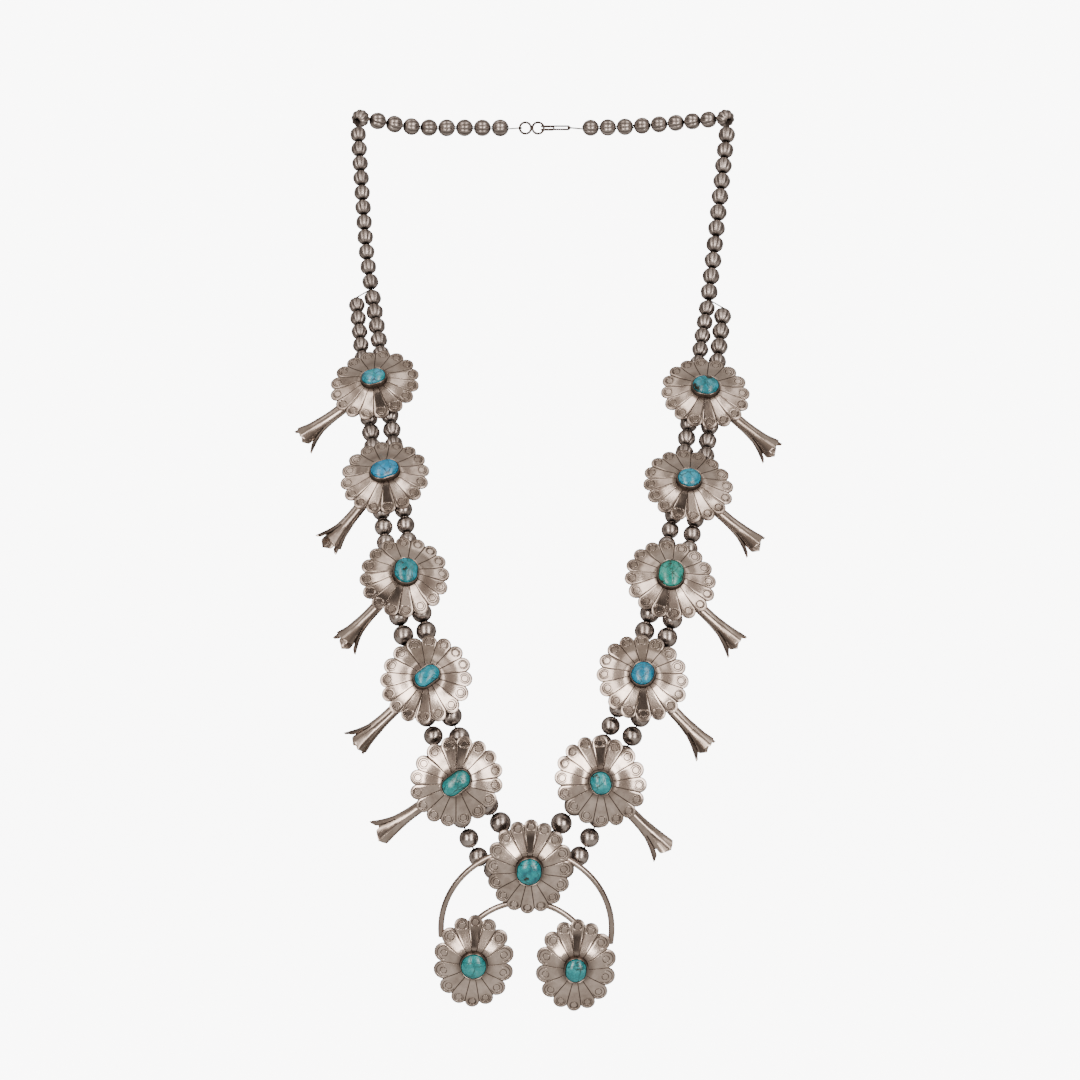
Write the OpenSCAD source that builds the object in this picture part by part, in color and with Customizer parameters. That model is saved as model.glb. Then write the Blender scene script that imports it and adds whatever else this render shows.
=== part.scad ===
// Squash blossom necklace: strings of silver beads, ten flower plates with
// trumpets, and a crescent pendant of three flowers on two wire arches.
// Millimetres. The origin is the middle of the string at the nape, +X is the
// wearer's left as seen from the front, -Y is forward and +Z is up.

/* [Beads] */
// Diameter of the beads at the nape and in the upper double strings
bead_d = 6.1; // [5.6:0.1:6.4]
// Diameter of the beads beside the lowest blossoms and the pendant
low_bead_d = 7; // [6.2:0.1:7.2]
// Diameter of the bead that turns each corner of the nape
corner_bead_d = 6.8; // [6:0.1:7]
// Least space between two beads
bead_gap = 0.15; // [0.12:0.01:0.2]
// Space between the beads of the inner and the outer string
string_gap = 0.9; // [0.6:0.1:1.2]

/* [Stringing wire] */
// Diameter of each of the two stringing wires
wire_d = 0.5; // [0.4:0.05:0.6]
// Clearance of the wires from each other and from every bore
wire_gap = 0.2; // [0.15:0.05:0.25]

/* [Blossom plates] */
// Length of a plate, along its trumpet
plate_l = 33.5; // [31:0.5:35]
// Width of a plate, across its trumpet
plate_w = 30.5; // [28:0.5:32]
// Rise of the plate from its rim to the flat under the bezel
plate_rise = 3; // [2:0.1:4]
// Thickness of the silver sheet
sheet_t = 0.7; // [0.5:0.05:0.9]
// Number of petals around a plate
petals = 16; // [12:1:18]

/* [Settings] */
// Height of the bezel cup above the plate
bezel_h = 2; // [1.5:0.1:2.5]
// Thickness of the bezel's wall
bezel_t = 0.5; // [0.3:0.05:0.7]
// Height of a stone's dome above its bezel
stone_dome = 1.5; // [1:0.1:2]
// Clearance of a stone in its bezel
stone_gap = 0.1; // [0.08:0.01:0.15]

/* [Trumpets] */
// Length of a trumpet from its root to its mouth
trumpet_l = 22.5; // [20:0.5:24]
// Diameter of a trumpet's tube
trumpet_d = 4.1; // [3.6:0.1:4.6]
// Diameter over the flared petals of the mouth
mouth_d = 10; // [8:0.5:11]
// Wall of the tube and of its flared petals
trumpet_t = 0.6; // [0.4:0.05:0.7]
// Length of the slits between the flared petals
slit_l = 9.5; // [7:0.5:11]

/* [Shanks] */
// Thickness of the drilled lug on the back of a plate
lug_t = 1.2; // [0.8:0.1:1.5]
// Metal around each hole of a lug
lug_rim = 0.8; // [0.6:0.1:1]
// Space between a lug and the beads beside it
lug_gap = 0.35; // [0.25:0.05:0.5]
// Space between a plate's rim and the beads behind it
seat_gap = 0.4; // [0.3:0.05:0.8]

/* [Pendant] */
// Height of each of the pendant's flower plates
naja_plate_l = 35.6; // [33:0.2:37]
// Width of the pendant's top flower plate
naja_top_w = 29.6; // [27:0.2:31]
// Width of each lower flower plate
naja_low_w = 27.4; // [25:0.2:29]
// Number of petals on each lower flower plate
naja_petals = 14; // [12:1:16]
// Diameter of the wire of both arches
arch_wire_d = 1.9; // [1.5:0.1:2.2]
// Radius of the outer arch, to the middle of its wire
outer_arch_r = 29.5; // [28:0.5:31]
// Radius of the inner arch, to the middle of its wire
inner_arch_r = 23.5; // [22:0.5:25]
// Sideways distance of each lower flower from the middle
naja_low_x = 17.7; // [16:0.1:19]
// Drop of the lower flowers below the top flower
naja_drop = 36; // [34:0.5:38]

/* [Clasp] */
// Outer diameter of each ring of the eye
eye_d = 4.9; // [4.6:0.1:5.4]
// Diameter of the eye's wire
eye_wire_d = 0.65; // [0.5:0.05:0.8]
// Diameter of the hook's doubled wire
hook_wire_d = 0.5; // [0.4:0.05:0.6]
// Length of the hook
hook_l = 9.6; // [8:0.2:10]

/* [Hidden] */
sides = ["left", "right"];
rows = [1:5];

// Places of the blossoms, from the top pair down. Columns: the middle of the
// plate's rim across, forward and up; the plate's sideways shift on its strings;
// its tilt back and its turn; the angle and the spin of its trumpet; and the
// length, width and angle of its stone.
left_blossoms = [
    [-60.5,  76,   -99.5,  0,    36.5, -5, 219.5, 20, 8.4, 6.2, 18],
    [-56,   101.5, -133,  -1.2,  37,  0, 234, 68,  9.8, 7.2,  22],
    [-48.5, 124,   -168,   0,    30, 10, 226, 22,  9.6, 7.8,  80],
    [-40.5, 140.5, -203,  -0.5,  18,  5, 222.5, 65, 9.2, 5.6,  36],
    [-30,   145,   -237.5, -1.8, -5,  0, 216, 72, 10.4, 6.2,  38]];
right_blossoms = [
    [58,     76,   -102.5,  0.9, 36,  0, 317, 70,  9.2, 7.8, 170],
    [51,    101.5, -136,   -0.8, 36,  4, 316, 62,  7.9, 7.5,  10],
    [44,    124,   -169,    0,   30,  3, 315, 72, 10.2, 8.4,  80],
    [34,    140.5, -202.5,  0,   22,  0, 313, 68,  8.3, 7.4,  60],
    [19.5,  145,   -237.5,  0,   -5,  0, 313, 74,  7.8, 6.8, 110]];
// Places of the pendant's top flower, its tilt, its turn and its roll
naja_place = [-5, 141, -267, -18, 0, -2.5];
// Length, width and angle of the pendant's stones: top, left and right
naja_stones = [[9.4, 8.2, 85], [8.8, 8.4, 90], [8.4, 7, 85]];

// Points that the strings run through, chosen by hand, for the left and the
// right side: along the nape, the axis of the corner bead, down to the fork
// where the outer wire leaves, the start of the outer string, and the slack of
// each string above the pendant.
nape_route = [
    [[-12.9, -0.5, 0], [-29, -1, 0], [-48.5, -4, 0], [-65, -10.2, 2.3]],
    [[14.5, -0.5, 0], [30, -1, 0.3], [49, -4, 1.5], [64.6, -10.2, 2.5]]];
corner_place = [[-68.2, -14, 2.3], [67.8, -14, 2.3]];
corner_axis = [[-0.35, -0.85, -0.35], [0.35, -0.85, -0.35]];
side_route = [
    [[-69, -18.3, -1.4], [-67, -29.6, -26], [-65, -39.7, -48.5], [-62.9, -46.2, -63.2]],
    [[68.4, -18.3, -1.4], [65, -31, -29], [61.9, -41.5, -54], [60.1, -47.6, -67.1]]];
outer_start = [[-68.4, -48, -66.4], [65.6, -49.4, -70.2]];
inner_slack = [[[-16.2, -137, -251.4]], [[8, -137, -251]]];
outer_slack = [[[-25.6, -138, -258.4], [-18.4, -135.4, -269.2]],
               [[15.8, -138, -257.5], [8.2, -135.4, -268.8]]];

// Growth of the beads from bead_d to low_bead_d, for the run above the first
// blossom and below each blossom
growth = [0, 0.1, 0.4, 0.7, 1, 1];
most_stretch = 1.06;        // a bead may be this much over its size to fill its run
extra_share = 0.35;         // a run with this share of a bead to spare takes one more
bend_room = 0.45;           // more room behind the first plates, where the strings bend forward
fork_room = 0.9;            // room below the fork, where the outer wire leaves the single string
bore_d = 2 * wire_d + 3 * wire_gap;
lane = (wire_d + wire_gap) / 2;

function unit(v) = v / norm(v);
function bead_size(k) = bead_d + (low_bead_d - bead_d) * growth[k];
function spread(k) = bead_size(k) * most_stretch + string_gap;
function string_depth(k) = bead_size(k) * most_stretch / 2 + seat_gap + (k == 1 ? bend_room : 0);

// The frame of a plate: its place, its two directions in the plane of the rim
// and its outward normal.
function row(side, k) = side == 0 ? left_blossoms[k - 1] : right_blossoms[k - 1];
function place(r) = [r[0], -r[1], r[2]];
function across(turn) = [cos(turn), sin(turn), 0];
function normal(tilt, turn) = [sin(turn) * cos(tilt), -cos(turn) * cos(tilt), sin(tilt)];
function upward(tilt, turn) = cross(normal(tilt, turn), across(turn));
module at_plate(spot, tilt, turn) {
    translate(spot) rotate([90 - tilt, 0, turn]) children();
}

// The pendant's frame is turned by its roll in the plane of its plates.
naja_tilt = naja_place[3];
naja_turn = naja_place[4];
naja_roll = naja_place[5];
naja_right = across(naja_turn) * cos(naja_roll) + upward(naja_tilt, naja_turn) * sin(naja_roll);
naja_up = upward(naja_tilt, naja_turn) * cos(naja_roll) - across(naja_turn) * sin(naja_roll);
naja_out = normal(naja_tilt, naja_turn);
arch_sink = 0.05;           // the arches' wire stays this far under the front of the sheet
arch_z = sheet_t - arch_sink - arch_wire_d / 2;
naja_depth = arch_wire_d / 2 - arch_z + seat_gap + low_bead_d * most_stretch / 2;
naja_spread = low_bead_d * most_stretch + 2 * string_gap;
naja_hole_rise = 0.5;       // the two holes of its lug lie this far above its middle
function naja_hole(inner) = place(naja_place) - naja_out * naja_depth
    + naja_up * (naja_hole_rise + (inner ? 1 : -1) * naja_spread / 2);

// Where the middle of the two strings passes blossom k, with the fork as 0 and
// the pendant as 6, and the direction of the strings there.
fork = [side_route[0][3], side_route[1][3]];
function string_middle(side, k) =
    k == 0 ? (fork[side] + outer_start[side]) / 2 :
    k == 6 ? (naja_hole(true) + naja_hole(false)) / 2 :
    let(r = row(side, k))
        place(r) - across(r[5]) * r[3] - normal(r[4], r[5]) * string_depth(k);
function string_direction(side, k) =
    let(way = string_middle(side, k + 1) - string_middle(side, k - 1),
        out = normal(row(side, k)[4], row(side, k)[5]))
        unit(way - out * (way * out));
// The hole of a string in the lug of blossom k. The inner string is the one
// nearer the middle of the necklace.
function hole(side, k, inner) =
    let(r = row(side, k),
        sideways = cross(string_direction(side, k), normal(r[4], r[5])),
        in_sign = (inner ? 1 : -1) * (side == 0 ? 1 : -1) * (sideways[0] > 0 ? 1 : -1))
        string_middle(side, k) + sideways * in_sign * spread(k) / 2;

// A smooth line through chosen points, in short straight steps.
steps = 10;
function between(p0, p1, p2, p3, t) =
    (2 * p1 + (p2 - p0) * t + (2 * p0 - 5 * p1 + 4 * p2 - p3) * t * t
    + (3 * p1 - p0 - 3 * p2 + p3) * t * t * t) / 2;
function smooth(pts) = let(last = len(pts) - 1) last == 1 ? pts : concat(
    [for (i = [0:last - 1], j = [0:steps - 1])
        between(i > 0 ? pts[i - 1] : 2 * pts[0] - pts[1], pts[i], pts[i + 1],
            i < last - 1 ? pts[i + 2] : 2 * pts[last] - pts[last - 1], j / steps)],
    [pts[last]]);
function lengths(pts) = [for (i = 0, s = 0; i < len(pts);
    s = s + (i < len(pts) - 1 ? norm(pts[i + 1] - pts[i]) : 0), i = i + 1) s];
function point_at(pts, runs, s) =
    let(i = max([for (j = [0:len(pts) - 2]) if (j == 0 || runs[j] < s) j]))
        pts[i] + (pts[i + 1] - pts[i]) * (s - runs[i]) / (runs[i + 1] - runs[i]);

// The ends of the beads along a run: as many whole beads as it holds, evenly.
function bead_ends(pts, size) =
    let(line = smooth(pts), runs = lengths(line), whole = runs[len(runs) - 1],
        count = max(1, floor(whole / (size + bead_gap) + extra_share)))
        [for (i = [0:count]) point_at(line, runs, whole * i / count)];
function bead_middles(ends) = [for (i = [0:len(ends) - 2]) (ends[i] + ends[i + 1]) / 2];
// Beads touch neither each other nor more than their size allows.
function fitted_size(ends, size) =
    let(mids = bead_middles(ends),
        apart = len(mids) > 1 ? min([for (i = [0:len(mids) - 2]) norm(mids[i + 1] - mids[i])])
            : norm(ends[1] - ends[0]))
        min(apart - bead_gap, size * most_stretch);

// The runs of each string. A run in a double string goes from the lug of one
// blossom to the lug of the next and stops short of both.
nape_ends = [for (side = [0, 1]) bead_ends(nape_route[side], bead_d)];
side_ends = [for (side = [0, 1]) bead_ends(side_route[side], bead_d)];
corner_reach = corner_bead_d / 2 + lug_gap;
function corner_ends(side) = let(way = unit(corner_axis[side]) * corner_reach)
    [corner_place[side] - way, corner_place[side] + way];
naja_seat = 1;              // more room where the strings bend round the pendant's lug
function short_of(a, b, room) = a + unit(b - a) * (lug_t / 2 + room);
function run(side, k, inner) =
    let(from = k > 0 ? hole(side, k, inner) : inner ? fork[side] : outer_start[side],
        to = k < 5 ? hole(side, k + 1, inner) : naja_hole(inner),
        slack = k < 5 ? [] : inner ? inner_slack[side] : outer_slack[side],
        line = concat([from], slack, [to]),
        last = len(line) - 1)
        concat([k > 0 ? short_of(from, line[1], lug_gap)
                : from + unit(line[1] - from) * (inner ? fork_room : lug_gap)], slack,
            [short_of(to, line[last - 1], k < 5 ? lug_gap : naja_seat)]);
run_ends = [for (side = [0, 1]) [for (inner = [true, false]) [for (k = [0:5])
    bead_ends(run(side, k, inner), bead_size(k))]]];
function string_runs(side, inner) = run_ends[side][inner ? 0 : 1];

module aim(way) {
    rotate([0, acos(way[2] / norm(way)), atan2(way[1], way[0])]) children();
}

module bead(from, to, size) {
    translate((from + to) / 2) aim(to - from) difference() {
        sphere(d = size, $fn = 48);
        cylinder(d = bore_d, h = 2 * size, center = true, $fn = 24);
    }
}

module bead_run(ends, size) {
    fitted = fitted_size(ends, size);
    for (i = [0:len(ends) - 2]) bead(ends[i], ends[i + 1], fitted);
}

module beads_single(side) {
    color("silver") {
        bead_run(nape_ends[side], bead_d);
        bead(corner_ends(side)[0], corner_ends(side)[1], corner_bead_d);
        bead_run(side_ends[side], bead_d);
    }
}

module beads_double(side, inner) {
    color("silver")
        for (k = [0:5]) bead_run(string_runs(side, inner)[k], bead_size(k));
}

// A wire of some sides swept along a path of points. Each ring's directions
// carry on from the last ring's, so the wire doesn't twist.
function tangent(path, i, closed) =
    let(n = len(path),
        back = closed ? path[(i + n - 1) % n] : path[max(i - 1, 0)],
        next = closed ? path[(i + 1) % n] : path[min(i + 1, n - 1)])
        unit(unit(next - path[i] + (i == n - 1 && !closed ? path[i] - back : [0, 0, 0]))
            + unit(path[i] - back + (i == 0 && !closed ? next - path[i] : [0, 0, 0])));
function square_to(v, along) = unit(v - along * (v * along));
module wire(path, d, closed = false, corners = 6) {
    n = len(path);
    along = [for (i = [0:n - 1]) tangent(path, i, closed)];
    first = square_to(abs(along[0][1]) < 0.9 ? [0, 1, 0] : [0, 0, 1], along[0]);
    out = [for (i = 0, u = first; i < n;
        u = i < n - 1 ? square_to(u, along[i + 1]) : u, i = i + 1) u];
    points = [for (i = [0:n - 1], j = [0:corners - 1])
        path[i] + (out[i] * cos(360 * j / corners)
            + cross(along[i], out[i]) * sin(360 * j / corners)) * d / 2];
    turns = closed ? n : n - 1;
    walls = [for (i = [0:turns - 1], j = [0:corners - 1])
        let(a = i * corners, b = ((i + 1) % n) * corners, m = (j + 1) % corners)
            [a + j, b + j, b + m, a + m]];
    ends = closed ? [] : [[for (j = [0:corners - 1]) j],
        [for (j = [corners - 1:-1:0]) (n - 1) * corners + j]];
    polyhedron(points, concat(walls, ends), convexity = 10);
}

// A flower plate: an oval ring of round petal tips around a sheet that rises
// in a cone, steeper towards the flat under the bezel. Shares of half its
// length and of its rise, from the flat out to past the rim.
plate_profile = [[0, 1], [0.36, 1], [0.57, 0.5], [0.8, 0.17], [1.05, 0]];
petal_overlap = 1.08;
function tip_middle(l, w, count, i) =
    let(pitch = sin(180 / count) * petal_overlap,
        inset = (l + w) / 4 * pitch / (1 + pitch))
        [(l / 2 - inset) * cos(360 * i / count), (w / 2 - inset) * sin(360 * i / count)];
module petal_outline(l, w, count) {
    tips = [for (i = [0:count - 1]) tip_middle(l, w, count, i)];
    polygon(tips);
    for (i = [0:count - 1])
        translate(tips[i])
            circle(r = norm(tips[(i + 1) % count] - tips[(i + count - 1) % count])
                * petal_overlap / 4, $fn = 32);
}
module plate(l, w, count) {
    under = [for (p = plate_profile) [p[0] * l / 2, p[1] * plate_rise]];
    over = [for (i = [len(under) - 1:-1:0]) under[i] + [0, sheet_t]];
    intersection() {
        rotate_extrude($fn = 64) polygon(concat(under, over));
        translate([0, 0, -sheet_t])
            linear_extrude(plate_rise + 3 * sheet_t) petal_outline(l, w, count);
    }
}

// An oval with round ends
module oval(l, w) {
    for (end = [-1, 1]) translate([end * (l - w) / 2, 0]) circle(d = w, $fn = 48);
    square([l - w, w], center = true);
}
module bezel(l, w, angle) {
    room = 2 * stone_gap;
    translate([0, 0, plate_rise]) rotate([0, 0, angle])
        linear_extrude(sheet_t + bezel_h) difference() {
            oval(l + room + 2 * bezel_t, w + room + 2 * bezel_t);
            oval(l + room, w + room);
        }
}
// A cabochon: straight sides in the bezel under a domed top
module cabochon(l, w, angle) {
    ball_r = (l * l / 4 + stone_dome * stone_dome) / (2 * stone_dome);
    color("turquoise")
        translate([0, 0, plate_rise + sheet_t + stone_gap]) rotate([0, 0, angle])
            intersection() {
                linear_extrude(bezel_h + stone_dome) oval(l, w);
                translate([0, 0, bezel_h + stone_dome - ball_r]) sphere(r = ball_r, $fn = 96);
            }
}

// A lug stands on the back of a plate across its strings, with a hole for each.
// It narrows towards the plate.
lug_foot = 6;
module lug(spacing, depth) {
    reach = spacing / 2 + bore_d / 2 + lug_rim;
    rotate([90, 0, 90]) linear_extrude(lug_t, center = true) difference() {
        union() {
            polygon([[-reach, -depth], [reach, -depth], [lug_foot / 2, plate_rise + sheet_t / 2],
                [-lug_foot / 2, plate_rise + sheet_t / 2]]);
            for (end = [-1, 1]) translate([end * spacing / 2, -depth])
                circle(r = bore_d / 2 + lug_rim, $fn = 32);
            translate([-spacing / 2, -depth - bore_d / 2 - lug_rim])
                square([spacing, bore_d + 2 * lug_rim]);
        }
        for (end = [-1, 1]) translate([end * spacing / 2, -depth])
            circle(d = bore_d, $fn = 24);
    }
}

// A trumpet: a tube that flares into four broad petals. Shares of its length
// and of its flare, from the tube out to the mouth.
flare = [[0.3, 0], [0.5, 0.1], [0.68, 0.32], [0.85, 0.66], [1, 1]];
// A slit between two petals: shares of its length, and its half width there as
// a share of the mouth. It opens out at the end, which rounds off the petals.
slit_shape = [[0, 0.01], [0.6, 0.05], [0.85, 0.12], [1.05, 0.26]];
trumpet_root = 11.5;        // distance of its root from the middle of the plate
trumpet_dip = 9;            // angle between it and the plane of the rim
solder_depth = 0.3;         // how far it is sunk into the back of the plate at the rim
module trumpet(spin) {
    tube_r = trumpet_d / 2;
    bell = [for (f = flare) [tube_r + (mouth_d / 2 - tube_r) * f[1], f[0] * trumpet_l]];
    inside = [for (i = [len(bell) - 1:-1:0]) bell[i] - [trumpet_t, 0]];
    difference() {
        rotate_extrude($fn = 48)
            polygon(concat([[0, 0], [tube_r, 0]], bell, inside, [[0, bell[0][1]]]));
        for (turn = [45, 135]) rotate([90, 0, spin + turn])
            translate([0, trumpet_l - slit_l]) linear_extrude(2 * mouth_d, center = true)
                polygon(concat([for (s = slit_shape) [s[1] * mouth_d, s[0] * slit_l]],
                    [for (i = [len(slit_shape) - 1:-1:0])
                        [-slit_shape[i][1] * mouth_d, slit_shape[i][0] * slit_l]]));
    }
}

// The rim's underside lies in the plane z = 0 of a plate's frame, and a
// trumpet's tube meets it there.
module blossom(side, k) {
    r = row(side, k);
    way = string_direction(side, k);
    string_angle = atan2(way * upward(r[4], r[5]), way * across(r[5]));
    root_z = (plate_l / 2 - trumpet_root) * sin(trumpet_dip) + solder_depth - trumpet_d / 2;
    color("silver") at_plate(place(r), r[4], r[5]) {
        rotate([0, 0, r[6]]) plate(plate_l, plate_w, petals);
        bezel(r[8], r[9], r[10]);
        translate([-r[3], 0, 0]) rotate([0, 0, string_angle])
            lug(spread(k), string_depth(k));
        rotate([0, 0, r[6]]) translate([trumpet_root, 0, root_z])
            rotate([0, 90 + trumpet_dip, 0]) trumpet(r[7]);
    }
}
module stone(side, k) {
    r = row(side, k);
    at_plate(place(r), r[4], r[5]) cabochon(r[8], r[9], r[10]);
}

// The pendant: two arches of wire under three flower plates, each with a bezel.
// Heights are measured from the middle of the top flower, in the plane of the rims.
outer_arch_y = -23.5;
inner_arch_y = -37;
outer_arch_reach = 8;       // angle that the outer arch goes on below its middle
inner_arch_half = 65;       // half the angle of the inner arch
naja_flowers = [[0, 0], [-naja_low_x, -naja_drop], [naja_low_x, -naja_drop]];
module at_naja() {
    at_plate(place(naja_place), naja_tilt, naja_turn) rotate([0, 0, naja_roll]) children();
}
module arch(r, y, from, to) {
    translate([0, y, arch_z]) rotate([0, 0, from])
        rotate_extrude(angle = to - from, $fn = 96) translate([r, 0]) circle(d = arch_wire_d, $fn = 24);
}
module naja() {
    color("silver") at_naja() {
        for (i = [0:2]) translate(naja_flowers[i]) {
            rotate([0, 0, 90])
                plate(naja_plate_l, i == 0 ? naja_top_w : naja_low_w, i == 0 ? petals : naja_petals);
            bezel(naja_stones[i][0], naja_stones[i][1], naja_stones[i][2]);
        }
        arch(outer_arch_r, outer_arch_y, -outer_arch_reach, 180 + outer_arch_reach);
        arch(inner_arch_r, inner_arch_y, 90 - inner_arch_half, 90 + inner_arch_half);
        translate([0, naja_hole_rise, 0]) lug(naja_spread, naja_depth);
    }
}
module naja_stone(i) {
    at_naja() translate(naja_flowers[i])
        cabochon(naja_stones[i][0], naja_stones[i][1], naja_stones[i][2]);
}

// The clasp: a double ring in the plane of the back, and a hook of doubled wire
// that goes through its right ring and back.
eye_x = -4.4;
eye_ring_r = (eye_d - eye_wire_d) / 2;
eye_overlap = 0.15;         // depth of the solder between the two rings
hook_wire_gap = 0.12;       // clearance of the inner wire's loop between the hook's two wires
eye_half = eye_ring_r + (eye_wire_d - eye_overlap) / 2;
module clasp_eye() {
    color("silver") for (end = [-1, 1])
        translate([eye_x + end * eye_half, 0, 0]) rotate([90, 0, 0])
            rotate_extrude($fn = 48) translate([eye_ring_r, 0]) circle(d = eye_wire_d, $fn = 24);
}
eye_left = eye_x - eye_half - eye_ring_r;
eye_right = eye_x + eye_half + eye_ring_r;
hook_room = 0.45;           // clearance of the ring's wire in the hook's bend, on each side
hook_slack = 0.3;           // clearance between the ring and the inside of the bend
hook_bend_r = eye_wire_d / 2 + hook_wire_d / 2 + hook_room;
hook_half = (hook_wire_d + wire_d) / 2 + hook_wire_gap;    // half the distance of its two wires
hook_x = eye_right + hook_bend_r - hook_wire_d / 2 - eye_wire_d / 2 - hook_slack;
hook_end = hook_x + hook_l - hook_half;
hook_return = 3;            // length of its short leg
function half_turn(middle, r, from, to, axis) = [for (i = [0:8]) let(a = from + (to - from) * i / 8)
    middle + (axis == "z" ? [cos(a), sin(a), 0] : [cos(a), 0, sin(a)]) * r];
module clasp_hook() {
    bend = [hook_x, 0, 0];
    up = [0, 0, hook_half];
    path = concat(
        half_turn(bend + up, hook_bend_r, 270, 90, "z"),
        half_turn([hook_x + hook_return, hook_bend_r, 0], hook_half, 90, -90, "x"),
        half_turn(bend - up, hook_bend_r, 90, 270, "z"),
        half_turn([hook_end, -hook_bend_r, 0], hook_half, -90, 90, "x"));
    color("silver") wire(path, hook_wire_d, closed = true, corners = 8);
}

// The two wires lie side by side in the single string and part at the fork.
// Each is one run from the eye to the hook. The inner wire ends in a small eye
// around the clasp at both ends, and the outer wire ends in the last beads.
function side_lane(path, inner_sign) = [for (i = [0:len(path) - 1])
    let(way = unit(path[min(i + 1, len(path) - 1)] - path[max(i - 1, 0)]))
        path[i] + unit(cross(way, [0, 1, 0])) * inner_sign * lane];
function corner_path(side) = let(ends = corner_ends(side)) [ends[0], corner_place[side], ends[1]];
function single_path(side) = concat(nape_ends[side], corner_path(side), side_ends[side]);
function thinned(ends, k) = k > 0 && k < 5 ? [ends[0], ends[len(ends) - 1]] : ends;
function double_path(side, inner) = [for (k = [0:5], p = thinned(string_runs(side, inner)[k], k)) p];
function string_path(side, inner) = concat(
    side_lane(single_path(side), (inner ? 1 : -1) * (side == 0 ? 1 : -1)),
    inner ? [] : [outer_start[side]],
    double_path(side, inner),
    [naja_hole(inner) + naja_right * (side == 0 ? -1 : 1) * lug_t / 2]);
function backwards(path) = [for (i = [len(path) - 1:-1:0]) path[i]];
// A small open eye around a wire that stands upright at a place
eye_room = 0.15;            // clearance of the loop around that wire
left_eye_arc = [-130, 150]; // angles at which each eye starts and ends
right_eye_arc = [30, 310];
function loop_round(middle, wire_r, arc) = let(r = wire_r + wire_d / 2 + eye_room)
    [for (i = [0:10]) let(a = arc[0] + (arc[1] - arc[0]) * i / 10) middle + [cos(a), sin(a), 0] * r];
module wire_inner() {
    left_eye = loop_round([eye_left, 0, 0], eye_wire_d / 2, left_eye_arc);
    right_eye = loop_round([hook_end + hook_half, -hook_bend_r, 0], hook_wire_d / 2, right_eye_arc);
    color("dimgray")
        wire(concat(left_eye, string_path(0, true), backwards(string_path(1, true)), right_eye),
            wire_d);
}
module wire_outer() {
    color("dimgray")
        wire(concat(string_path(0, false), backwards(string_path(1, false))), wire_d);
}

blossom(0, 1);  // blossom_left_1
blossom(0, 2);  // blossom_left_2
blossom(0, 3);  // blossom_left_3
blossom(0, 4);  // blossom_left_4
blossom(0, 5);  // blossom_left_5
blossom(1, 1);  // blossom_right_1
blossom(1, 2);  // blossom_right_2
blossom(1, 3);  // blossom_right_3
blossom(1, 4);  // blossom_right_4
blossom(1, 5);  // blossom_right_5
stone(0, 1);  // stone_left_1
stone(0, 2);  // stone_left_2
stone(0, 3);  // stone_left_3
stone(0, 4);  // stone_left_4
stone(0, 5);  // stone_left_5
stone(1, 1);  // stone_right_1
stone(1, 2);  // stone_right_2
stone(1, 3);  // stone_right_3
stone(1, 4);  // stone_right_4
stone(1, 5);  // stone_right_5
naja();
naja_stone(0);  // naja_stone_top
naja_stone(1);  // naja_stone_left
naja_stone(2);  // naja_stone_right
beads_single(0);  // beads_single_left
beads_single(1);  // beads_single_right
beads_double(0, true);  // beads_inner_left
beads_double(1, true);  // beads_inner_right
beads_double(0, false);  // beads_outer_left
beads_double(1, false);  // beads_outer_right
wire_inner();
wire_outer();
clasp_eye();
clasp_hook();
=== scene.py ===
import math

import bmesh
import bpy
import numpy as np
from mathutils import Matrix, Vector
from mathutils.geometry import tessellate_polygon


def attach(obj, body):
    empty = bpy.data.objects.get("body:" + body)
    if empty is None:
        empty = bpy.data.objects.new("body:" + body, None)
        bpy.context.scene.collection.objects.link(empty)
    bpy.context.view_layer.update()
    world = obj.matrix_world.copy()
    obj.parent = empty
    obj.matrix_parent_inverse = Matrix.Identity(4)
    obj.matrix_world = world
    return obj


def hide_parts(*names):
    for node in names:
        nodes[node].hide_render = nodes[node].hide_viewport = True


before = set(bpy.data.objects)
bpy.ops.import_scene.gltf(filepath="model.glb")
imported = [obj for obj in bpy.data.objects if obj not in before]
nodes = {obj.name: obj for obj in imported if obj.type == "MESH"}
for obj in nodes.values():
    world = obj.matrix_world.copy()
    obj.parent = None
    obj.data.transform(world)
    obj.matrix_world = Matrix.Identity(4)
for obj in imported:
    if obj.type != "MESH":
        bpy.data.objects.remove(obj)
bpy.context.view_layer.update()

# A squash blossom necklace in silver and turquoise. Sizes are in millimetres and
# angles in degrees, as in the part, and turn to metres when a mesh is made. Scales and
# depths inside a material are in metres, and tones are sRGB hex codes.
millimetre = 0.001
sideNames = ("left", "right")
pairs = range(1, 6)
for name in ("Cube", "Light", "Camera"):  # Blender's own first scene
    if name in bpy.data.objects:
        bpy.data.objects.remove(bpy.data.objects[name])


# Meshes. A shell is its points, its faces in blocks of equal corners, and its patina.

def joined(shells):
    # puts several shells into one
    points, blocks, values, start = [], [], [], 0
    for shellPoints, shellBlocks, patina in shells:
        points.append(shellPoints)
        blocks += [block + start for block in shellBlocks]
        values.append(np.broadcast_to(patina, (len(shellPoints),)))
        start += len(shellPoints)
    return np.concatenate(points), blocks, np.concatenate(values)


def fullTurn(count):
    return np.arange(count) * 2 * math.pi / count


def gridFaces(rows, columns, roundRows=False, roundColumns=False):
    # four-sided faces of a grid of points that is stored row by row
    i = np.arange(rows if roundRows else rows - 1)[:, None]
    j = np.arange(columns if roundColumns else columns - 1)[None, :]
    down, right = (i + 1) % rows, (j + 1) % columns
    quads = np.stack(np.broadcast_arrays(
        i * columns + j, down * columns + j, down * columns + right, i * columns + right), axis=-1)
    return quads.reshape(-1, 4)


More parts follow.
